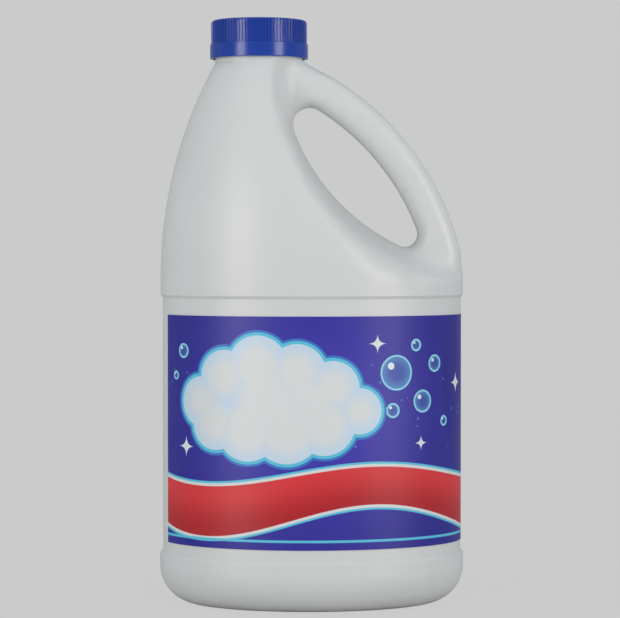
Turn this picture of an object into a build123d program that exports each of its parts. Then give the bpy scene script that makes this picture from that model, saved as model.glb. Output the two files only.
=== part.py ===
from build123d import *
import math
import os

# A bleach bottle: a blown jug with an oval body, a hollow handle moulded in one with it and an
# off-centre neck, closed by a ribbed screw cap with a foam liner, and wrapped in a film label.
# Frame: +Z up, origin on the floor at the centre of the base, +X towards the handle, the front faces -Y.
# All sizes are in millimetres and all angles in degrees.

# Body: every level section is an ellipse
body_width = 150.0
body_depth = 110.0
wall = 1.0
base_corner_radius = 19.0
push_up_height = 4.0
push_up_margin = 25.0
push_up_slope_run = 6.0
pinch_line_length = 62.0
pinch_line_width = 1.4
pinch_line_height = 0.8

# Label panel: a recessed band between two sloping steps
panel_bottom = 26.3
panel_top = 150.6
panel_recess = 1.5
step_height = 1.5

# Shoulder: arcs that leave the upright body and close on the neck
shoulder_start = 160.0
shoulder_setback = 0.4
shoulder_sections = 9

# Neck: a short foot, then the finish that the cap screws on
neck_offset = -26.0
neck_base = 266.0
neck_foot_radius = 21.6
neck_foot_drop = 2.0
neck_foot_rise = 3.2
finish_radius = 20.4
mouth_height = 284.1
bore_radius = 18.4
throat_height = 2.6
mouth_edge_radius = 0.5

# Handle: a flattened tube on an arc from the shoulder's right edge to the foot of the neck
handle_radius = 137.3
handle_corner_height = 166.0
handle_thickness = 16.6
handle_depth = 27.0
handle_edge_radius = 7.5
handle_low_angle = 15.0
handle_high_angle = 64.0
low_turn_radius = 48.0
low_turn_angle = 30.0
high_turn_radius = 33.0
high_turn_angle = 45.0
shoulder_lap = 0.5

# Finger opening: an oblique cone cuts the body behind the handle, wider towards the front and the back
opening_radius = 103.2
opening_centre_x = 148.0
opening_centre_z = 128.7
draft_reference_depth = 60.0
draft_radius_gain = 11.1
draft_shift_x = 6.6
draft_shift_z = -5.0
high_tip_radius = 8.5
low_tip_radius = 6.5
root_lead_angle = 14.0
root_run = 25.0
root_floor = 153.0
crease_radius = 6.0

# Cap
cap_height = 18.7
cap_top_thickness = 1.5
cap_rib_crest_radius = 23.65
cap_rib_height = 0.45
cap_rib_count = 90
cap_rib_foot_width = 1.0
cap_rib_crest_width = 0.5
cap_skirt_radius = 24.1
cap_skirt_height = 7.1
cap_skirt_edge = 0.3
cap_inner_radius = 22.1
cap_edge_radius = 1.5
cap_mouth_relief = 0.6
cap_mouth_relief_height = 3.4

# Liner and label
liner_thickness = 1.0
liner_side_gap = 0.35
label_height = 111.0
label_bottom = 31.5
label_thickness = 0.2
label_glue_gap = 0.05
label_end_x = -70.8

os.makedirs("parts", exist_ok=True)

half_width = body_width / 2
half_depth = body_depth / 2
shoulder_half_width = half_width - shoulder_setback
shoulder_half_depth = half_depth - shoulder_setback
panel_half_width = half_width - panel_recess
panel_half_depth = half_depth - panel_recess
neck_right = neck_offset + neck_foot_radius
neck_left = neck_offset - neck_foot_radius
neck_axis = Axis((neck_offset, 0, 0), (0, 0, 1))


def on_arc(centre, radius, angle):
    """The point at an angle on a circle of the X-Z plane."""
    return (
        centre[0] + radius * math.cos(math.radians(angle)),
        centre[1] + radius * math.sin(math.radians(angle)),
    )


def bearing(centre, point):
    """The angle of a point of the X-Z plane, seen from a centre, from 0 to 360."""
    return math.degrees(math.atan2(point[1] - centre[1], point[0] - centre[0])) % 360


def arc_centre(low, high, radius):
    """Centre, in the X-Z plane, of the arc that bulges outwards from low up to high."""
    half_chord = math.dist(low, high) / 2
    middle = ((low[0] + high[0]) / 2, (low[1] + high[1]) / 2)
    return on_arc(middle, math.sqrt(radius**2 - half_chord**2), bearing(low, high) + 90)


def circles_meet(centre_a, radius_a, centre_b, radius_b):
    """The two points where two circles of the X-Z plane cross: the higher one first."""
    apart = math.dist(centre_a, centre_b)
    along = (radius_a**2 - radius_b**2 + apart**2) / (2 * apart)
    swing = math.degrees(math.acos(along / radius_a))
    direction = bearing(centre_a, centre_b)
    points = [on_arc(centre_a, radius_a, direction + side * swing) for side in (-1, 1)]
    return sorted(points, key=lambda point: -point[1])


handle_centre = arc_centre(
    (shoulder_half_width, handle_corner_height),
    (neck_right, neck_base),
    handle_radius,
)
opening_centre = (handle_centre[0] + opening_centre_x, handle_centre[1] + opening_centre_z)


def arc_run(height, run, rise):
    """How far an arc that starts upright has come in at this height, to reach run at the full rise."""
    radius = (rise**2 + run**2) / (2 * run)
    return radius - math.sqrt(radius**2 - height**2)


def shoulder_section(level):
    """Centre, half width and half depth of the shoulder's ellipse at a level."""
    climb = max(0.0, level - shoulder_start)
    rise = neck_base - shoulder_start
    left = -shoulder_half_width + arc_run(climb, shoulder_half_width + neck_left, rise)
    right_arc = handle_radius + shoulder_lap
    right = handle_centre[0] + math.sqrt(right_arc**2 - (level - handle_centre[1]) ** 2)
    right = min(shoulder_half_width, right)
    front = shoulder_half_depth - arc_run(climb, shoulder_half_depth - neck_foot_radius, rise)
    return (left + right) / 2, (right - left) / 2, front


def body_half(inset):
    """The front half of the body without its pocket, drawn inset inside the mould's surface."""
    width, depth = half_width - inset, half_depth - inset
    panel_width, panel_depth = panel_half_width - inset, panel_half_depth - inset
    recess_width, recess_depth = half_width - push_up_margin + inset, half_depth - push_up_margin + inset
    shoulder_low = panel_top + step_height
    with BuildPart() as body:
        with BuildSketch(Plane.XY.offset(inset)):
            Ellipse(width, depth)
        extrude(amount=panel_bottom - step_height - inset)
        fillet(body.edges().sort_by(Axis.Z)[0], base_corner_radius - inset)
        with BuildSketch(Plane.XY.offset(panel_bottom - step_height)):
            Ellipse(width, depth)
        with BuildSketch(Plane.XY.offset(panel_bottom)):
            Ellipse(panel_width, panel_depth)
        loft(ruled=True)
        with BuildSketch(Plane.XY.offset(panel_bottom)):
            Ellipse(panel_width, panel_depth)
        extrude(amount=panel_top - panel_bottom)
        with BuildSketch(Plane.XY.offset(panel_top)):
            Ellipse(panel_width, panel_depth)
        with BuildSketch(Plane.XY.offset(shoulder_low)):
            Ellipse(shoulder_half_width - inset, shoulder_half_depth - inset)
        loft(ruled=True)
        for index in range(shoulder_sections + 1):
            level = shoulder_low + (neck_base - shoulder_low) * index / shoulder_sections
            centre, across, along = shoulder_section(level)
            with BuildSketch(Plane.XY.offset(level)):
                with Locations((centre, 0)):
                    Ellipse(across - inset, along - inset)
        loft()
        # The base is pushed up in the middle, so that the bottle stands on a ring
        with BuildSketch(Plane.XY.offset(inset)):
            Ellipse(recess_width, recess_depth)
        with BuildSketch(Plane.XY.offset(inset + push_up_height)):
            Ellipse(recess_width - push_up_slope_run, recess_depth - push_up_slope_run)
        loft(ruled=True, mode=Mode.SUBTRACT)
        split(bisect_by=Plane.XZ, keep=Keep.TOP)
    return body.part


def opening_circle(depth):
    """Centre and radius of the opening's cone, this far in front of the mid-plane."""
    share = depth / draft_reference_depth
    centre = (opening_centre[0] + share * draft_shift_x, opening_centre[1] + share * draft_shift_z)
    return centre, opening_radius + share * draft_radius_gain


def opening_cutter(inset):
    """The oblique cone that leaves the finger opening's lower left edge and the pocket beside the handle."""
    with BuildPart() as cutter:
        for depth in (-1.0, draft_reference_depth):
            centre, radius = opening_circle(depth)
            with BuildSketch(Plane.XZ.offset(depth)):
                with Locations(centre):
                    Circle(radius + inset)
        loft(ruled=True)
    return cutter.part


def turned_arc(start_angle, turn_radius, turn_angle, inset):
    """Middle and end of the arc by which an end of the handle's back turns into the body."""
    centre = on_arc(handle_centre, handle_radius - turn_radius, start_angle)
    return [on_arc(centre, turn_radius - inset, start_angle + turn_angle * share) for share in (0.5, 1)]


def handle_half(inset):
    """The front half of the handle and its roots, drawn inset inside the mould's surface."""
    back = handle_radius - inset
    inner = handle_radius - handle_thickness + inset
    opening = opening_radius + inset
    high_tip = high_tip_radius + inset
    low_tip = low_tip_radius + inset
    high_middle = circles_meet(opening_centre, opening - high_tip, handle_centre, inner - high_tip)[0]
    low_middle = circles_meet(opening_centre, opening - low_tip, handle_centre, inner - low_tip)[1]
    # Each root leaves its tip's arc a little before the arc would meet the opening's edge, and runs on
    # into the body
    high_leave = bearing(opening_centre, high_middle) - root_lead_angle
    low_leave = bearing(opening_centre, low_middle) + root_lead_angle
    high_inner = bearing(handle_centre, high_middle)
    low_inner = bearing(handle_centre, low_middle)
    high_root = on_arc(high_middle, high_tip, high_leave)
    low_root = on_arc(low_middle, low_tip, low_leave)
    high_sunk = on_arc(high_root, root_run, high_leave + 90)
    low_sunk = on_arc(low_root, root_run, low_leave - 90)
    high_knuckle = on_arc(high_middle, high_tip, (high_leave + high_inner) / 2)
    low_knuckle = on_arc(low_middle, low_tip, (low_leave + low_inner + 360) / 2)
    inner_high, inner_middle, inner_low = (
        on_arc(handle_centre, inner, angle)
        for angle in (high_inner, (high_inner + low_inner) / 2, low_inner)
    )
    back_low, back_middle, back_high = (
        on_arc(handle_centre, back, angle)
        for angle in (handle_low_angle, (handle_low_angle + handle_high_angle) / 2, handle_high_angle)
    )
    high_turn, high_end = turned_arc(handle_high_angle, high_turn_radius, high_turn_angle, inset)
    low_turn, low_end = turned_arc(handle_low_angle, low_turn_radius, -low_turn_angle, inset)
    with BuildPart() as handle:
        with BuildSketch(Plane.XZ):
            with BuildLine():
                ThreePointArc(high_root, high_knuckle, inner_high)
                ThreePointArc(inner_high, inner_middle, inner_low)
                ThreePointArc(inner_low, low_knuckle, low_root)
                Polyline(low_root, low_sunk, (low_sunk[0], root_floor), low_end)
                ThreePointArc(low_end, low_turn, back_low)
                ThreePointArc(back_low, back_middle, back_high)
                ThreePointArc(back_high, high_turn, high_end)
                Polyline(high_end, (high_end[0], high_sunk[1]), high_sunk, high_root)
            make_face()
        extrude(amount=handle_depth / 2 - inset)
        rim = handle.faces().sort_by(Axis.Y)[0].edges()
        fillet(rim, handle_edge_radius - inset)
    return handle.part


def jug_half(inset):
    """The front half of the jug below its neck finish, drawn inset inside the mould's surface."""
    body = body_half(inset)
    cutter = opening_cutter(inset)
    handle = handle_half(inset)
    with BuildPart() as half:
        add(body)
        add(cutter, mode=Mode.SUBTRACT)
        front_edges = half.edges().filter_by(lambda edge: edge.center().Y < -2 * crease_radius)
        crease = front_edges.filter_by(lambda edge: edge.center().Z > shoulder_start).sort_by(Edge.length)[-1]
        fillet(crease, crease_radius - inset)
        add(handle)
        # The neck's foot fills the top of the pocket again
        with BuildSketch(Plane.XY.offset(neck_base - neck_foot_drop + inset)):
            with Locations((neck_offset, 0)):
                Circle(neck_foot_radius - inset)
        foot = extrude(amount=neck_foot_drop - inset, mode=Mode.PRIVATE)
        add(foot)
        split(bisect_by=Plane.XZ, keep=Keep.TOP)
    return half.part


outer_half = jug_half(0.0)
cavity_half = jug_half(wall)

with BuildPart() as bottle:
    add(outer_half)
    mirror(outer_half, about=Plane.XZ)
    # Neck finish
    with BuildSketch(Plane.XZ):
        with BuildLine():
            Polyline(
                (neck_offset, neck_base),
                (neck_right, neck_base),
                (neck_right, neck_base + neck_foot_rise),
                (neck_offset + finish_radius, neck_base + neck_foot_rise),
                (neck_offset + finish_radius, mouth_height),
                (neck_offset, mouth_height),
                close=True,
            )
        make_face()
    revolve(axis=neck_axis)
    # Hollow
    add(cavity_half, mode=Mode.SUBTRACT)
    mirror(cavity_half, about=Plane.XZ, mode=Mode.SUBTRACT)
    with BuildSketch(Plane.XZ):
        with BuildLine():
            Polyline(
                (neck_offset, neck_base),
                (neck_right - wall, neck_base),
                (neck_offset + bore_radius, neck_base + throat_height),
                (neck_offset + bore_radius, mouth_height),
                (neck_offset, mouth_height),
                close=True,
            )
        make_face()
    revolve(axis=neck_axis, mode=Mode.SUBTRACT)
    fillet(bottle.faces().sort_by(Axis.Z)[-1].edges(), mouth_edge_radius)
    # Pinch line: the seam that the closing mould leaves across the pushed-up base
    with BuildSketch(Plane.XY.offset(push_up_height)):
        Rectangle(pinch_line_length, pinch_line_width)
    extrude(amount=-pinch_line_height)
bottle.part.label = "bottle"
export_step(bottle.part, "parts/bottle.step")

cap_top = mouth_height + liner_thickness + cap_top_thickness
cap_bottom = cap_top - cap_height
skirt_top = cap_bottom + cap_skirt_height

with BuildPart() as cap:
    # Upper part with its grip ribs
    with BuildSketch(Plane.XY.offset(skirt_top)):
        with Locations((neck_offset, 0)):
            Circle(cap_rib_crest_radius - cap_rib_height)
            with PolarLocations(cap_rib_crest_radius, cap_rib_count):
                Polygon(
                    (-2 * cap_rib_height, -cap_rib_foot_width / 2),
                    (-cap_rib_height, -cap_rib_foot_width / 2),
                    (0, -cap_rib_crest_width / 2),
                    (0, cap_rib_crest_width / 2),
                    (-cap_rib_height, cap_rib_foot_width / 2),
                    (-2 * cap_rib_height, cap_rib_foot_width / 2),
                    align=None,
                )
    extrude(amount=cap_top - skirt_top)
    # The top edge is rounded over, and the ribs with it
    with BuildSketch(Plane.XZ) as envelope:
        with Locations((neck_offset, skirt_top)):
            Rectangle(cap_rib_crest_radius, cap_top - skirt_top, align=(Align.MIN, Align.MIN))
        fillet(envelope.vertices().sort_by(Axis.X)[-2:].sort_by(Axis.Y)[-1], cap_edge_radius)
    revolve(axis=neck_axis, mode=Mode.INTERSECT)
    # Plain skirt below the ribs
    with BuildSketch(Plane.XZ) as skirt:
        with Locations((neck_offset, cap_bottom)):
            Rectangle(cap_skirt_radius, cap_skirt_height, align=(Align.MIN, Align.MIN))
        fillet(skirt.vertices().sort_by(Axis.X)[-2:], cap_skirt_edge)
    revolve(axis=neck_axis)
    # Bore for the finish, wider at its mouth, where it passes the neck's foot
    with BuildSketch(Plane.XZ):
        with Locations((neck_offset, cap_bottom)):
            Rectangle(cap_inner_radius, cap_height - cap_top_thickness, align=(Align.MIN, Align.MIN))
            Rectangle(
                cap_inner_radius + cap_mouth_relief,
                cap_mouth_relief_height,
                align=(Align.MIN, Align.MIN),
            )
    revolve(axis=neck_axis, mode=Mode.SUBTRACT)
cap.part.label = "cap"
export_step(cap.part, "parts/cap.step")

with BuildPart() as cap_liner:
    with BuildSketch(Plane.XY.offset(mouth_height)):
        with Locations((neck_offset, 0)):
            Circle(cap_inner_radius - liner_side_gap)
    extrude(amount=liner_thickness)
cap_liner.part.label = "cap_liner"
export_step(cap_liner.part, "parts/cap_liner.step")

with BuildPart() as label:
    label_inner_width = panel_half_width + label_glue_gap
    label_inner_depth = panel_half_depth + label_glue_gap
    with BuildSketch(Plane.XY.offset(label_bottom)):
        Ellipse(label_inner_width + label_thickness, label_inner_depth + label_thickness)
        Ellipse(label_inner_width, label_inner_depth, mode=Mode.SUBTRACT)
        with Locations((label_end_x, 0)):
            Rectangle(body_width, body_depth, align=(Align.MAX, Align.CENTER), mode=Mode.SUBTRACT)
    extrude(amount=label_height)
label.part.label = "label"
export_step(label.part, "parts/label.step")
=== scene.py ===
# %% [markdown]
# # A bleach bottle, dressed in Blender
#
# The bottle arrives as exact solids: a blown white jug with a hollow handle, a ribbed screw cap with
# its liner, and a printed film label. This notebook gives them the looks: a smooth blow-moulded skin,
# screw threads, a printed label, and the studio that they stand in. Solids keep their size and place.

import math

import bmesh
import bpy
import numpy as np
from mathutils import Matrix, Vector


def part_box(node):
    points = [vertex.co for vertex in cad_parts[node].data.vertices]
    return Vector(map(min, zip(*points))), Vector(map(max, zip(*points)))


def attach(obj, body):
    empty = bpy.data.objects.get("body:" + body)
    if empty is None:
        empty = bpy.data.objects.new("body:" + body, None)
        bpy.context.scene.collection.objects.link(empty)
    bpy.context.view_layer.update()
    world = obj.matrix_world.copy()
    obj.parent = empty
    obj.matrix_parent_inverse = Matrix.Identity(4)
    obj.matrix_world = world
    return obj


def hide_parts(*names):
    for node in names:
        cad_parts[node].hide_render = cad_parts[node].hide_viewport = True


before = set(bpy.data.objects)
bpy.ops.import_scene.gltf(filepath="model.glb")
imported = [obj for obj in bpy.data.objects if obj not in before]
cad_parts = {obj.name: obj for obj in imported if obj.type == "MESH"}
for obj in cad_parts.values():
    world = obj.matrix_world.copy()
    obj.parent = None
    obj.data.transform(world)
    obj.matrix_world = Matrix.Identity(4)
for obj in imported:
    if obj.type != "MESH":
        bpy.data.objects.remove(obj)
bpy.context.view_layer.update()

# %% [markdown]
# ## Writing shader maths as sums
#
# A procedural material is a sum of masks, and a node graph hides that sum. Here one small class wraps a
# socket, so that `1 - mask * 0.5` in Python adds the Math nodes. Every other node comes from one method,
# `node`, which sets the node's settings first and then its inputs.

# %% A socket that can be added and multiplied
class Wire:
    """The output of a node. Sums on it add Math nodes to the same material."""

    def __init__(self, recipe, socket):
        self.recipe = recipe
        self.socket = socket

    def sum(self, operation, *terms):
        inputs = dict(enumerate(terms))
        return self.recipe.node("ShaderNodeMath", {"operation": operation}, inputs)

    def __add__(self, other):
        return self.sum("ADD", self, other)

    def __sub__(self, other):
        return self.sum("SUBTRACT", self, other)

    def __rsub__(self, other):
        return self.sum("SUBTRACT", other, self)

    def __mul__(self, other):
        return self.sum("MULTIPLY", self, other)

    def __truediv__(self, other):
        return self.sum("DIVIDE", self, other)

    def __pow__(self, other):
        return self.sum("POWER", self, other)

    def __abs__(self):
        return self.sum("ABSOLUTE", self)

    def sine(self):
        return self.sum("SINE", self)

    def at_least(self, other):
        return self.sum("MAXIMUM", self, other)

    __radd__ = __add__
    __rmul__ = __mul__


# %% A material's recipe
class Recipe:
    """A material's node tree. `node` adds one node; the rest are short names for common ones."""

    def __init__(self, name):
        self.material = bpy.data.materials.new(name)
        self.material.use_nodes = True
        self.tree = self.material.node_tree
        self.shader = self.tree.nodes["Principled BSDF"]

    def connect(self, socket, value):
        if isinstance(value, Wire):
            self.tree.links.new(value.socket, socket)
        else:
            socket.default_value = value

    def node(self, kind, settings, inputs, output=0):
        made = self.tree.nodes.new(kind)
        for setting, value in settings.items():
            setattr(made, setting, value)
        for socket, value in inputs.items():
            self.connect(made.inputs[socket], value)
        return Wire(self, made.outputs[output])

    def object_point(self):
        """The point on the surface, in the object's own metres."""
        return self.node("ShaderNodeTexCoord", {}, {}, "Object")

    def split(self, vector):
        """The three numbers of a vector."""
        return [self.node("ShaderNodeSeparateXYZ", {}, {0: vector}, axis) for axis in "XYZ"]

    def noise(self, point, scale, detail=2.0):
        """Cloudy noise between 0 and 1, with this many lumps to the metre."""
        return self.node("ShaderNodeTexNoise", {}, {"Vector": point, "Scale": scale, "Detail": detail})

    def ramp(self, value, low, high):
        """0 below low, 1 above high, and a smooth step between them."""
        settings = {"interpolation_type": "SMOOTHSTEP"}
        return self.node("ShaderNodeMapRange", settings, {"Value": value, "From Min": low, "From Max": high})

    def blend(self, mask, below, above):
        """The colour below where the mask is 0, and the colour above where it is 1."""
        settings = {"data_type": "RGBA"}
        return self.node("ShaderNodeMix", settings, {"Factor": mask, 6: below, 7: above}, 2)

    def bump(self, strength, distance, height):
        """A normal that leans as if the surface rose by the height times this distance in metres."""
        return self.node("ShaderNodeBump", {}, {"Strength": strength, "Distance": distance, "Height": height})

    def finish(self, **sockets):
        """Sets the shader's sockets: an underscore in a name stands for a space."""
        for name, value in sockets.items():
            self.connect(self.shader.inputs[name.replace("_", " ")], value)
        return self.material


def rgb(red, green, blue):
    """A colour from the 0 to 255 numbers of a paint picker, as the linear light that a shader uses."""
    shares = [channel / 255 for channel in (red, green, blue)]
    linear = [share / 12.92 if share <= 10 / 255 else ((share + 0.055) / 1.055) ** 2.4 for share in shares]
    return (*linear, 1.0)


def wear(made, material):
    """Gives an object this one material, in place of any that it came with."""
    made.data.materials.clear()
    made.data.materials.append(material)


print("white 221 is", round(rgb(221, 221, 221)[0], 3), "in linear light")

# %% [markdown]
# ## The camera
#
# The photograph was taken from well back with a long lens, a little above the middle of the bottle and
# almost square to its front, so the sides stay upright. The camera's shift stays at zero: a small tilt
# puts the bottle in the frame.

# %% Camera
camera_distance = 1.242
camera_height = 0.1754
camera_yaw = math.radians(-2.0)
aim_point = (-0.0009, 0.0, 0.1448)
lens_mm = 146.0
sight_limit = 20.0

camera = bpy.data.objects.new("camera", bpy.data.cameras.new("camera"))
bpy.context.scene.collection.objects.link(camera)
camera.data.lens = lens_mm
camera.data.clip_end = sight_limit
camera.location = (
    aim_point[0] + camera_distance * math.sin(camera_yaw),
    -camera_distance * math.cos(camera_yaw),
    camera_height,
)
tilt = math.atan2(aim_point[2] - camera_height, camera_distance)
camera.rotation_euler = (math.pi / 2 + tilt, 0, camera_yaw)
bpy.context.scene.camera = camera
print("camera at", [round(v, 3) for v in camera.location], "tilted", round(math.degrees(tilt), 2), "degrees")

# %% [markdown]
# ## New pieces as grids of points
#
# A surface is a rule that gives a point for each pair of numbers, such as how far along and how far
# round. Worked out for a whole grid at once, it is one numpy array, and the faces only join neighbours.
# Most pieces here are tubes: a closed section carried along a path, with both ends closed.

# %% From points to a mesh
sharp_angle = math.radians(40)


def grid_faces(rows, columns, closed=False):
    """Quads between neighbouring points of a grid numbered row by row; closed joins each row's ends."""
    row, column = np.meshgrid(np.arange(rows - 1), np.arange(columns - 1 + closed), indexing="ij")
    column = column.ravel()
    following = (column + 1) % columns
    near = row.ravel() * columns
    far = near + columns
    return np.stack([near + column, near + following, far + following, far + column], axis=1)


def mesh_object(name, points, faces):
    """A new smooth-shaded object at the origin, whose mesh has these points and faces."""
    mesh = bpy.data.meshes.new(name)
    mesh.from_pydata(points.tolist(), [], faces)
    mesh.polygons.foreach_set("use_smooth", np.ones(len(faces), dtype=bool))
    mesh.update()
    made = bpy.data.objects.new(name, mesh)
    bpy.context.scene.collection.objects.link(made)
    return made


def tube_object(name, sections):
    """A closed tube from an array of sections: sections[i, j] is corner j of section i."""
    count, corners, _ = sections.shape
    ends = [list(range(corners))[::-1], list(range((count - 1) * corners, count * corners))]
    made = mesh_object(name, sections.reshape(-1, 3), grid_faces(count, corners, closed=True).tolist() + ends)
    made.data.set_sharp_from_angle(angle=sharp_angle)
    return made


print("3 by 4 points make", len(grid_faces(3, 4)), "faces, or", len(grid_faces(3, 4, True)), "when closed")

# %% Measuring a mesh
ml_per_cubic_metre = 1e6


def read_array(collection, field, width, kind=np.float32):
    """One field of every vertex, edge, triangle or corner, as an array with this many columns."""
    values = np.empty(len(collection) * width, dtype=kind)
    collection.foreach_get(field, values)
    return values.reshape(-1, width)


def volume_ml(made):
    """The volume inside a closed mesh: the sum of the pyramids that its triangles make with the origin, each
    a sixth of the triple product of its corners. A mesh that is inside out has a negative volume."""
    mesh = made.data
    mesh.calc_loop_triangles()
    points = read_array(mesh.vertices, "co", 3).astype(float)
    triangles = read_array(mesh.loop_triangles, "vertices", 3, np.int32)
    first, second, third = np.moveaxis(points[triangles], 1, 0)
    return float(np.einsum("ij,ij->i", first, np.cross(second, third)).sum() / 6 * ml_per_cubic_metre)


print("the solid jug holds", round(volume_ml(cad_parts["bottle"]), 1), "ml of plastic")

# %% [markdown]
# ## The blown jug
#
# High-density polyethylene is white, slightly milky and satin. The mould is sandblasted, so the skin has
# a very fine grain, and its two halves leave a thin parting line all round the jug, on the mid-plane.
# A picture wrapped round the jug could show this, but noise in the object's own metres stays sharp from
# close by and needs no map.

# %% Bottle material
parting_edge = (0.00008, 0.0004)


def bottle_material():
    """White with a slight cloud in colour and gloss. Its bump is a parting line that fades out between two
    distances from the mid-plane, a fine grain and a slow sway."""
    recipe = Recipe("white_polyethylene")
    point = recipe.object_point()
    _, across, _ = recipe.split(point)
    cloud = recipe.noise(point, 22.0)
    parting = 1 - recipe.ramp(abs(across), *parting_edge)
    grain = recipe.noise(point, 2600.0, 1.0)
    sway = recipe.noise(point, 45.0, 1.0)
    return recipe.finish(
        Base_Color=recipe.blend(cloud, rgb(222, 224, 223), rgb(229, 230, 229)),
        Roughness=0.33 + cloud * 0.08,
        Normal=recipe.bump(0.35, 0.00012, parting * 1.4 + grain * 0.12 + sway * 0.5),
        IOR=1.52,
        Subsurface_Weight=0.25,
        Subsurface_Radius=(1.0, 1.0, 1.0),
        Subsurface_Scale=0.004,
    )


white_polyethylene = bottle_material()
print("made", white_polyethylene.name)

# %% [markdown]
# ## The jug's soft creases
#
# A blown skin can't turn sharply, because the stretched plastic bridges every hollow. On the real jug the
# pocket beside the handle starts in a wide soft crease, and the neck flows into the handle. The solid has
# a tighter crease and a collar there, so a merged copy of it takes its place and is relaxed: each point near
# a crease moves towards its neighbours, again and again. Points near the mid-plane stay, so the outline from
# the front hardly changes. Where nothing moves, the copy keeps the solid's own normals.

# %% A merged and finer copy of the jug
skin_floor = 0.154
skin_doubles_distance = 0.000002
skin_edge_length = 0.0025
skin_halvings = 8
skin_shortest_edge = 0.00005


def edges_above_floor(work, longer_than=0.0):
    """The edges of a working mesh that lie above the skin's floor and are longer than a length."""
    return [
        edge
        for edge in work.edges
        if min(point.co.z for point in edge.verts) > skin_floor and edge.calc_length() > longer_than
    ]


def into_triangles(work):
    """Cuts the faces of a working mesh that have more than three corners into triangles."""
    bmesh.ops.triangulate(work, faces=[face for face in work.faces if len(face.verts) > 3])


def merged_copy(source, name):
    """The source's mesh with its doubled corners merged, and with its normals kept as an attribute. Above
    the floor, edges over the skin's edge length are halved, several times over. Those under the shortest
    are then closed up, because points that nearly coincide would tear the surface when it is relaxed."""
    made = bpy.data.objects.new(name, source.data.copy())
    bpy.context.scene.collection.objects.link(made)
    normals = read_array(made.data.corner_normals, "vector", 3)
    kept = made.data.attributes.new("solid_normal", "FLOAT_VECTOR", "CORNER")
    kept.data.foreach_set("vector", normals.ravel())
    work = bmesh.new()
    work.from_mesh(made.data)
    bmesh.ops.remove_doubles(work, verts=work.verts, dist=skin_doubles_distance)
    for _ in range(skin_halvings):
        bmesh.ops.subdivide_edges(work, edges=edges_above_floor(work, skin_edge_length), cuts=1)
        into_triangles(work)
    bmesh.ops.dissolve_degenerate(work, dist=skin_shortest_edge, edges=edges_above_floor(work))
    into_triangles(work)
    open_edges = sum(len(edge.link_faces) != 2 for edge in work.edges)
    work.to_mesh(made.data)
    work.free()
    print(name, "has", open_edges, "open edges")
    return made


skin = merged_copy(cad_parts["bottle"], "jug_skin")
print("skin:", len(skin.data.vertices), "points,", len(skin.data.polygons), "faces")
print("plastic before it is relaxed:", round(volume_ml(skin), 1), "ml")

# %% Where the skin may move
pocket_centre = np.array([0.08767, 0.26931])
pocket_radius = 0.1032
pocket_drift = np.array([0.11, -0.0833])
pocket_growth = 0.185
crease_reach = 0.01
neck_root = np.array([-0.005, 0.262])
# Pairs of lengths between which the share rises or falls
neck_root_reach = (0.009, 0.019)
handle_side = (-0.007, -0.001)
mid_plane_side = (0.003, 0.009)
shoulder_foot = (0.157, 0.168)
finish_foot = (0.2665, 0.269)


def smooth_step(value, low, high):
    """0 below low, 1 above high, and 3 t^2 - 2 t^3 between them."""
    t = np.clip((value - low) / (high - low), 0, 1)
    return t * t * (3 - 2 * t)


def crease_share(points):
    """How freely each point may move: 1 on the pocket's wall and its crease, falling as exp(-(d / reach)^2)
    with the distance d from the pocket's cone, and 1 round the neck's root. It is 0 on the handle, under the
    shoulder, on the neck's finish and near the mid-plane."""
    height = points[:, 2]
    depth = np.abs(points[:, 1])
    level = points[:, [0, 2]]
    from_cone = np.linalg.norm(level - pocket_centre - depth[:, None] * pocket_drift, axis=1)
    from_cone -= pocket_radius + depth * pocket_growth
    crease = np.exp(-((from_cone / crease_reach) ** 2)) * smooth_step(from_cone, *handle_side)
    root = 1 - smooth_step(np.linalg.norm(level - neck_root, axis=1), *neck_root_reach)
    share = np.maximum(crease, root) * smooth_step(depth, *mid_plane_side)
    return share * smooth_step(height, *shoulder_foot) * (1 - smooth_step(height, *finish_foot))


solid_points = read_array(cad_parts["bottle"].data.vertices, "co", 3)
print("share of the solid's points that may move:", round(float((crease_share(solid_points) > 0).mean()), 3))

# %% Relaxing the creases
relax_rounds = 70
relax_stride = 0.5
own_normals_share = 0.05
shortest_normal = 1e-6


def relax(made):
    """Moves each point towards the mean of its neighbours, by half its share in every round, and returns
    the shares and the furthest move."""
    mesh = made.data
    first = read_array(mesh.vertices, "co", 3).astype(float)
    ends = read_array(mesh.edges, "vertices", 2, np.int32)
    here, there = ends.ravel("F"), ends[:, ::-1].ravel("F")
    share = crease_share(first)
    neighbours = np.bincount(here, minlength=len(first))
    points = first.copy()
    for _ in range(relax_rounds):
        sums = [np.bincount(here, weights=points[there, axis], minlength=len(points)) for axis in range(3)]
        points += relax_stride * share[:, None] * (np.stack(sums, axis=1) / neighbours[:, None] - points)
    mesh.vertices.foreach_set("co", points.astype(np.float32).ravel())
    mesh.update()
    return share, np.linalg.norm(points - first, axis=1).max()


def keep_normals(made, share):
    """The solid's normal where the share is zero, the relaxed surface's own where it is over a twentieth,
    and a mix between."""
    mesh = made.data
    solid = read_array(mesh.attributes["solid_normal"].data, "vector", 3)
    corner = read_array(mesh.loops, "vertex_index", 1, np.int32).ravel()
    moved = read_array(mesh.vertex_normals, "vector", 3)[corner]
    mix = smooth_step(share[corner], 0.0, own_normals_share)[:, None]
    normals = solid * (1 - mix) + moved * mix
    normals /= np.maximum(np.linalg.norm(normals, axis=1, keepdims=True), shortest_normal)
    mesh.attributes.remove(mesh.attributes["solid_normal"])
    mesh.polygons.foreach_set("use_smooth", np.ones(len(mesh.polygons), dtype=bool))
    mesh.normals_split_custom_set(normals.tolist())


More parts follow.
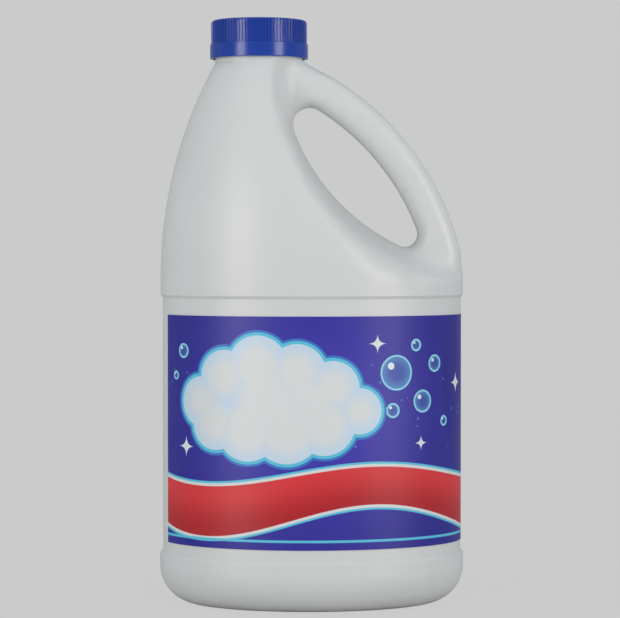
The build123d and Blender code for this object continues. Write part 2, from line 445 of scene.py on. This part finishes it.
skin_share, furthest = relax(skin)
keep_normals(skin, skin_share)
wear(skin, white_polyethylene)
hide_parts("bottle")
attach(skin, "bottle")
print("furthest move:", round(furthest * 1000, 2), "mm;", round(volume_ml(skin), 1), "ml of plastic")

# %% [markdown]
# ## The cap
#
# The cap is moulded from polypropylene, which is harder and glossier than the jug and coloured right
# through. Nothing on it is printed, so it needs no map: one deep blue with a slight cloud in colour and
# gloss is enough. Its ribs are already in the solid.

# %% Cap material
def cap_material():
    """Deep blue with a slight cloud in colour and gloss, and a grain too fine to see from a step away."""
    recipe = Recipe("dark_blue_polypropylene")
    point = recipe.object_point()
    cloud = recipe.noise(point, 60.0)
    return recipe.finish(
        Base_Color=recipe.blend(cloud, rgb(0, 50, 154), rgb(2, 58, 168)),
        Roughness=0.17 + cloud * 0.06,
        Normal=recipe.bump(0.25, 0.00006, recipe.noise(point, 3500.0, 1.0)),
        IOR=1.49,
        Specular_IOR_Level=0.6,
    )


blue_polypropylene = cap_material()
wear(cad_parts["cap"], blue_polypropylene)
print("made", blue_polypropylene.name)

# %% [markdown]
# ## The screw threads
#
# Closed, the cap hides both threads. Turned up its six millimetres, it still covers most of them, so they
# are mainly there for whoever takes the cap off the model. A thread is a low ridge whose section is
# a blunt triangle, carried along a helix. Both ridges climb 4 mm in a turn. The cap's lies just under the
# neck's, which is what pulls the cap down on the mouth.

# %% A ridge wound round an upright cylinder
neck_axis_x = -0.026
thread_pitch = 0.004
thread_half_width = 0.001
thread_sunk = 0.0003
thread_run_out = 0.125
thread_least_rise = 0.1
sections_per_turn = 80
# The section from the sunk foot over the crest and back: share of the way to the crest, and of the half width
section_rise = np.array([0.0, 0.55, 0.9, 1.0, 1.0, 0.9, 0.55, 0.0])
section_place = np.array([-1.0, -0.72, -0.52, -0.3, 0.3, 0.52, 0.72, 1.0])


def thread_ridge(name, wall_radius, crest_radius, turn_from, turn_to, height_at_zero):
    """A helical ridge. At turn t its middle is at height height_at_zero + pitch * t, at the angle 2 pi t
    counter-clockwise from +X. Its section goes from the wall to the crest, and its crest sinks into the
    wall over the first and last eighth of a turn."""
    turns = np.linspace(turn_from, turn_to, int(sections_per_turn * (turn_to - turn_from)))
    outwards = np.sign(crest_radius - wall_radius)
    swell = smooth_step(np.minimum(turns - turn_from, turn_to - turns), 0, thread_run_out)
    rise = thread_least_rise + (1 - thread_least_rise) * swell
    sunk_radius = wall_radius - outwards * thread_sunk
    radius = sunk_radius + section_rise * (crest_radius - sunk_radius) * rise[:, None]
    angle = 2 * math.pi * turns[:, None]
    height = height_at_zero + thread_pitch * turns[:, None] + section_place * thread_half_width * -outwards
    sections = np.stack([neck_axis_x + radius * np.cos(angle), radius * np.sin(angle), height], axis=-1)
    return tube_object(name, sections)


print("each turn of thread has", sections_per_turn * len(section_rise), "points")

# %% The neck's thread
neck_thread_height = 0.2726

neck_thread = thread_ridge(
    "neck_thread",
    wall_radius=0.0204,
    crest_radius=0.0215,
    turn_from=0.0,
    turn_to=1.5,
    height_at_zero=neck_thread_height,
)
wear(neck_thread, white_polyethylene)
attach(neck_thread, "bottle")
print("neck thread:", len(neck_thread.data.polygons), "faces,", round(volume_ml(neck_thread), 3), "ml")

# %% The cap's thread, 1.28 mm below the neck's
thread_drop = 0.00128

cap_thread = thread_ridge(
    "cap_thread",
    wall_radius=0.0221,
    crest_radius=0.0209,
    turn_from=0.5,
    turn_to=1.75,
    height_at_zero=neck_thread_height - thread_drop,
)
wear(cap_thread, blue_polypropylene)
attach(cap_thread, "cap")
print("cap thread:", len(cap_thread.data.polygons), "faces,", round(volume_ml(cap_thread), 3), "ml")

# %% [markdown]
# ## The cap's liner
#
# The disc that seals the mouth is foamed polyethylene: off-white, dull and full of tiny cells. Modelled
# cells would be far too many faces for a piece that the cap hides, so Voronoi cells of a third of a
# millimetre give it that skin in the bump.

# %% Liner material
def liner_material():
    """Off-white with a slight cloud. The distance to the nearest cell's middle is the bump and dulls it."""
    recipe = Recipe("foamed_polyethylene")
    point = recipe.object_point()
    cells = recipe.node("ShaderNodeTexVoronoi", {"feature": "F1"}, {"Vector": point, "Scale": 3000.0})
    return recipe.finish(
        Base_Color=recipe.blend(recipe.noise(point, 150.0), rgb(214, 213, 204), rgb(228, 227, 219)),
        Roughness=0.6 + cells * 0.2,
        Normal=recipe.bump(0.5, 0.00008, cells),
    )


foam = liner_material()
wear(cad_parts["cap_liner"], foam)
print("made", foam.name)

# %% [markdown]
# ## The label's film
#
# The label is a printed film 0.2 mm thick that lies in the recessed panel and goes almost all the way
# round. Its path is an ellipse, and a print isn't stretched on it, so the map for the print is measured
# along the film: the ellipse is walked in small steps, the steps are added up, and the label's columns are
# placed at equal lengths. The exact solid has no such map, so this film takes its place.

# %% The film's path
film_low, film_high = (np.array(corner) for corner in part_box("label"))
film_thickness = 0.0002
film_half_width = film_high[0]
film_half_depth = film_high[1]
mm_per_metre = 1000
ellipse_points = 4001


def walk_ellipse(half_width, half_depth, end_x):
    """Angles round an ellipse from its left end at end_x, past the front, to the same x behind; angle 0 is
    the front and 90 degrees is +X. With each angle goes the length walked since the front, in metres."""
    first = math.asin(end_x / half_width)
    angles = np.linspace(first, math.pi + math.asin(-end_x / half_width), ellipse_points)
    steps = np.hypot(half_width * np.cos(angles), half_depth * np.sin(angles))
    walked = np.concatenate([[0], np.cumsum((steps[1:] + steps[:-1]) / 2 * np.diff(angles))])
    return angles, walked - np.interp(0.0, angles, walked)


angles, walked = walk_ellipse(film_half_width, film_half_depth, film_low[0])
label_left_mm = walked[0] * mm_per_metre
label_length_mm = (walked[-1] - walked[0]) * mm_per_metre
label_height_mm = (film_high[2] - film_low[2]) * mm_per_metre
print("the film is", round(label_length_mm, 1), "by", round(label_height_mm, 1), "mm")
print("it starts", round(-label_left_mm, 1), "mm left of the front")

# %% The film as a closed sheet
film_columns = 300
film_rows = 10


def label_film(columns, rows):
    """A thin closed shell: column i stands at an equal share of the film's length, and its section runs
    down the outer face and up the inner face."""
    share = np.linspace(0, 1, columns)
    angle = np.interp(walked[0] + share * (walked[-1] - walked[0]), walked, angles)
    rise = np.linspace(1, 0, rows)
    up = np.concatenate([rise, rise[::-1]])
    inset = np.repeat([0.0, film_thickness], rows)
    x = (film_half_width - inset) * np.sin(angle[:, None])
    y = -(film_half_depth - inset) * np.cos(angle[:, None])
    z = np.broadcast_to(film_low[2] + up * (film_high[2] - film_low[2]), x.shape)
    made = tube_object("label_film", np.stack([x, y, z], axis=-1))
    chart = made.data.uv_layers.new(name="label_chart")
    corners = read_array(made.data.loops, "vertex_index", 1, np.int32).ravel()
    places = np.stack([np.repeat(share, 2 * rows), np.tile(up, columns)], axis=1)
    chart.data.foreach_set("uv", places[corners].ravel())
    return made


film = label_film(film_columns, film_rows)
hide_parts("label")
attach(film, "bottle")
print("film:", len(film.data.polygons), "faces,", round(volume_ml(film), 2), "ml")

# %% [markdown]
# ## The label's print
#
# The print is laid out on the chart in millimetres: `along` from the front's middle, `up` from the lower
# edge. Each shape is a depth, which is positive inside the shape and zero on its outline, and a smooth
# step a quarter of a millimetre wide turns a depth into a mask. Shapes are then laid on each other like
# layers of ink: a deep blue field, bubbles, foam, one waving red ribbon, sparkles and a blank panel.

# %% Shapes on the chart
ink_edge = 0.12


class Chart:
    """The label's plane in millimetres. Its methods give how deep a spot lies inside a shape."""

    def __init__(self, recipe):
        self.recipe = recipe
        chart = recipe.node("ShaderNodeUVMap", {"uv_map": "label_chart"}, {})
        along_share, up_share, _ = recipe.split(chart)
        self.along = along_share * label_length_mm + label_left_mm
        self.up = up_share * label_height_mm
        self.spot = recipe.node("ShaderNodeCombineXYZ", {}, {0: self.along, 1: self.up})

    def disc(self, along, up, radius):
        """The radius minus the distance to the middle."""
        ends = {0: self.spot, 1: (along, up, 0)}
        return radius - self.recipe.node("ShaderNodeVectorMath", {"operation": "DISTANCE"}, ends, "Value")

    def together(self, depths):
        """The depth inside any of several shapes: the greatest of their depths."""
        deepest = depths[0]
        for depth in depths[1:]:
            deepest = deepest.at_least(depth)
        return deepest

    def band(self, middle, half_height):
        """Half the band's height minus the distance to its middle line."""
        return half_height - abs(self.up - middle)

    def sparkle(self, along, up, reach):
        """A star of four points: reach minus the square of the sum of the roots of both distances."""
        root = abs(self.along - along) ** 0.5 + abs(self.up - up) ** 0.5
        return reach - root * root

    def rounded_panel(self, along, up, half_width, half_height, corner):
        """The corner's radius minus the distance to the inner rectangle."""
        beside = (abs(self.along - along) - (half_width - corner)).at_least(0.0)
        above = (abs(self.up - up) - (half_height - corner)).at_least(0.0)
        return corner - (beside * beside + above * above) ** 0.5

    def mask(self, depth):
        """1 inside the shape, 0 outside it, and a smooth step across its outline."""
        return self.recipe.ramp(depth, -ink_edge, ink_edge)

    def inked(self, colour, depth, ink):
        """The colour, with this ink over it inside the shape."""
        return self.recipe.blend(self.mask(depth), colour, ink)


print("an ink's edge is", 2 * ink_edge, "mm wide")

# %% The blue field
field_blue = rgb(36, 31, 146)
glow_blue = rgb(64, 54, 178)
back_blue = rgb(34, 30, 142)
fizz_blue = rgb(96, 150, 222)
glow_disc = (0, 62, 95)
glow_depth = 90.0
back_edge_along = 74
back_edge_swing = 5
back_edge_wave = 17
fizz_cells_per_mm = 0.16
fizz_size = 0.13
fizz_edge = 0.03
fizz_strength = 0.55
fizz_starts = (34.0, 44.0)
fizz_ends = (74.0, 104.0)


def blue_field(recipe, chart):
    """Deep blue with a glow behind the foam, plain and a little darker past a wavy edge at the right, and
    with fine fizz in the middle heights: the spots nearest to the middles of Voronoi cells."""
    glow = recipe.ramp(chart.disc(*glow_disc), 0.0, glow_depth)
    colour = recipe.blend(glow, field_blue, glow_blue)
    past_edge = chart.along - (back_edge_along + (chart.up / back_edge_wave).sine() * back_edge_swing)
    colour = chart.inked(colour, past_edge, back_blue)
    cells = {"Vector": chart.spot, "Scale": fizz_cells_per_mm}
    from_middle = recipe.node("ShaderNodeTexVoronoi", {"feature": "F1"}, cells)
    fizz = recipe.ramp(fizz_size - from_middle, 0.0, fizz_edge)
    zone = recipe.ramp(chart.up, *fizz_starts) * (1 - recipe.ramp(chart.up, *fizz_ends))
    return recipe.blend(fizz * zone * fizz_strength, colour, fizz_blue)


print("the glow reaches", glow_disc[2], "mm round its middle")

# %% Bubbles
bubble_blue = rgb(110, 190, 235)
rim_blue = rgb(150, 220, 240)
gleam_white = rgb(235, 245, 250)
rim_half_width = 0.45
bubbles = [
    (40, 84, 8.5), (55, 70, 5.5), (38, 66, 3.6), (63, 88, 4.2), (51, 97, 3.0), (70, 60, 2.6),
    (-70, 94, 3.6), (-76, 82, 2.2), (118, 78, 9.0), (136, 62, 5.0), (268, 84, 7.0), (254, 66, 4.0),
]


def bubble(recipe, chart, colour, along, up, radius):
    """A clear disc that thickens towards its rim, a thin bright ring, and a gleam at the upper left."""
    depth = chart.disc(along, up, radius)
    towards_rim = recipe.ramp(radius - depth, radius * 0.3, radius)
    colour = recipe.blend(chart.mask(depth) * (0.15 + towards_rim * 0.35), colour, bubble_blue)
    colour = chart.inked(colour, rim_half_width - abs(depth - rim_half_width), rim_blue)
    gleam = chart.disc(along - radius * 0.35, up + radius * 0.38, radius * 0.2)
    return chart.inked(colour, gleam, gleam_white)


print("bubbles:", len(bubbles))

# %% The foam cloud
cyan = rgb(92, 200, 230)
outline_blue = rgb(60, 120, 205)
foam_rim = rgb(206, 226, 244)
foam_white = rgb(228, 231, 231)
foam_outline = 2.6
foam_line = 1.5
foam_shade_depth = 9.0
foam_discs = [
    (-58, 70, 12), (-45, 82, 13), (-28, 87, 15), (-9, 84, 14), (8, 77, 13), (21, 66, 11),
    (-50, 60, 13), (-33, 58, 16), (-14, 58, 17), (4, 60, 15), (-24, 72, 18), (-4, 70, 16),
]


def foam_cloud(recipe, chart, colour):
    """Discs that overlap, white inside and bluer at the rim, over a cyan line and a wider blue one."""
    depth = chart.together([chart.disc(*disc) for disc in foam_discs])
    colour = chart.inked(colour, depth + foam_outline, outline_blue)
    colour = chart.inked(colour, depth + foam_line, cyan)
    shaded = recipe.blend(recipe.ramp(depth, 0.0, foam_shade_depth), foam_rim, foam_white)
    return chart.inked(colour, depth, shaded)


print("discs in the foam:", len(foam_discs))

# %% The ribbon
ribbon_white = rgb(226, 229, 229)
dark_red = rgb(186, 22, 34)
bright_red = rgb(226, 52, 58)
ribbon_up = 24
ribbon_swing = 6.5
ribbon_half_height = 10.5
ribbon_thinning = 1.5
ribbon_wave = 27
ribbon_start = 0.5
ribbon_outline = 2.4
ribbon_line = 1.4
ribbon_shade = 9.0


def red_ribbon(recipe, chart, colour):
    """A band whose middle line is a sine wave and whose height changes with it. It is darker below and
    brighter above, over a white line and a wider cyan one."""
    sway = (chart.along / ribbon_wave + ribbon_start).sine()
    middle = ribbon_up + sway * ribbon_swing
    depth = chart.band(middle, ribbon_half_height - sway * ribbon_thinning)
    colour = chart.inked(colour, depth + ribbon_outline, cyan)
    colour = chart.inked(colour, depth + ribbon_line, ribbon_white)
    red = recipe.blend(recipe.ramp(chart.up - middle, -ribbon_shade, ribbon_shade), dark_red, bright_red)
    return chart.inked(colour, depth, red)


print("one wave of the ribbon is", round(2 * math.pi * ribbon_wave), "mm long")

# %% The printed film
sparkle_white = rgb(232, 235, 236)
panel_white = rgb(222, 227, 232)
sparkles = [(-68, 48, 5.5), (30, 98, 5.0), (82, 78, 6.0), (54, 50, 4.0), (278, 56, 5.0)]
blank_panel = (194, 74, 38, 26, 4)
foot_line = (4.2, 0.6)


def label_material():
    """The inks, from the field up to the line along the foot, on a film that lies a little slack."""
    recipe = Recipe("printed_film")
    chart = Chart(recipe)
    point = recipe.object_point()
    colour = blue_field(recipe, chart)
    for place in bubbles:
        colour = bubble(recipe, chart, colour, *place)
    colour = foam_cloud(recipe, chart, colour)
    colour = red_ribbon(recipe, chart, colour)
    colour = chart.inked(colour, chart.together([chart.sparkle(*star) for star in sparkles]), sparkle_white)
    colour = chart.inked(colour, chart.rounded_panel(*blank_panel), panel_white)
    colour = chart.inked(colour, chart.band(*foot_line), cyan)
    slack = recipe.noise(point, 30.0, 1.0) + recipe.noise(point, 110.0, 1.0) * 0.25
    return recipe.finish(
        Base_Color=colour,
        Roughness=0.36 + recipe.noise(point, 55.0) * 0.1,
        Normal=recipe.bump(0.3, 0.0006, slack),
        IOR=1.49,
    )


printed_film = label_material()
wear(film, printed_film)
print("print has", len(printed_film.node_tree.nodes), "nodes")

# %% [markdown]
# ## The studio
#
# A pale floor that runs up into a backdrop, two large soft boxes in front at the left and the right, a
# weak one above, and an even light from all round. For the camera the floor mostly shows its own flat
# grey, so that the background stays even, and it keeps a part of the bottle's shadow.

# %% Floor and backdrop
floor_half_width = 3.0
floor_front = -2.2
wall_distance = 1.6
wall_height = 3.0
bend_radius = 0.8
bend_steps = 24


def sweep_profile(steps):
    """Floor, quarter circle and wall as one line in the Y-Z plane, from the front to the top."""
    turn = np.linspace(0, math.pi / 2, steps)
    bend_y = wall_distance - bend_radius + bend_radius * np.sin(turn)
    bend_z = bend_radius - bend_radius * np.cos(turn)
    line_y = np.concatenate([[floor_front], bend_y, [wall_distance]])
    line_z = np.concatenate([[0.0], bend_z, [wall_height]])
    return line_y, line_z


profile_y, profile_z = sweep_profile(bend_steps)
sides = np.array([-floor_half_width, floor_half_width])
floor_y, floor_x = np.meshgrid(profile_y, sides, indexing="ij")
floor_z = np.repeat(profile_z[:, None], len(sides), axis=1)
floor_points = np.stack([floor_x, floor_y, floor_z], axis=-1).reshape(-1, 3)
backdrop = mesh_object("backdrop", floor_points, grid_faces(len(profile_y), len(sides)).tolist())
print("backdrop has", len(backdrop.data.polygons), "faces")

# %% The floor's grey
lit_grey = rgb(204, 204, 204)
flat_grey = rgb(205, 205, 205)
flat_share = 0.94

stage_recipe = Recipe("backdrop_grey")
stage_recipe.finish(Base_Color=lit_grey, Roughness=0.9)
seen = stage_recipe.node("ShaderNodeLightPath", {}, {}, "Is Camera Ray")
flat = stage_recipe.node("ShaderNodeEmission", {}, {"Color": flat_grey, "Strength": 1.0})
lit = Wire(stage_recipe, stage_recipe.shader.outputs[0])
mixed = stage_recipe.node("ShaderNodeMixShader", {}, {0: seen * flat_share, 1: lit, 2: flat})
stage_recipe.tree.links.new(mixed.socket, stage_recipe.tree.nodes["Material Output"].inputs["Surface"])
wear(backdrop, stage_recipe.material)
print("the camera sees", flat_share, "of the flat grey and the rest as it is lit")

# %% Lights
lamp_colour = rgb(255, 246, 238)
lamps_aim_height = 0.15
sky_colour = rgb(220, 233, 241)
sky_strength = 0.6


def soft_box(name, azimuth, elevation, distance, width, height, watts):
    """A rectangular lamp round the bottle's middle: azimuth 0 is in front, and 90 is at +X."""
    lamp = bpy.data.objects.new(name, bpy.data.lights.new(name, "AREA"))
    bpy.context.scene.collection.objects.link(lamp)
    lamp.data.shape = "RECTANGLE"
    lamp.data.size = width
    lamp.data.size_y = height
    lamp.data.energy = watts
    lamp.data.color = lamp_colour[:3]
    turn, lift = math.radians(azimuth), math.radians(elevation)
    lamp.location = (
        distance * math.sin(turn) * math.cos(lift),
        -distance * math.cos(turn) * math.cos(lift),
        lamps_aim_height + distance * math.sin(lift),
    )
    lamp.rotation_euler = (math.pi / 2 - lift, 0, turn)


soft_box("left_box", azimuth=-44.5, elevation=8, distance=1.5, width=0.5, height=1.0, watts=7.7)
soft_box("right_box", azimuth=46, elevation=8, distance=1.5, width=0.52, height=1.0, watts=7.7)
soft_box("top_box", azimuth=0, elevation=80, distance=1.6, width=1.4, height=1.0, watts=1.8)
world = bpy.data.worlds.new("even_light")
world.use_nodes = True
world.node_tree.nodes["Background"].inputs["Color"].default_value = sky_colour
world.node_tree.nodes["Background"].inputs["Strength"].default_value = sky_strength
bpy.context.scene.world = world
bpy.context.scene.view_settings.view_transform = "Standard"
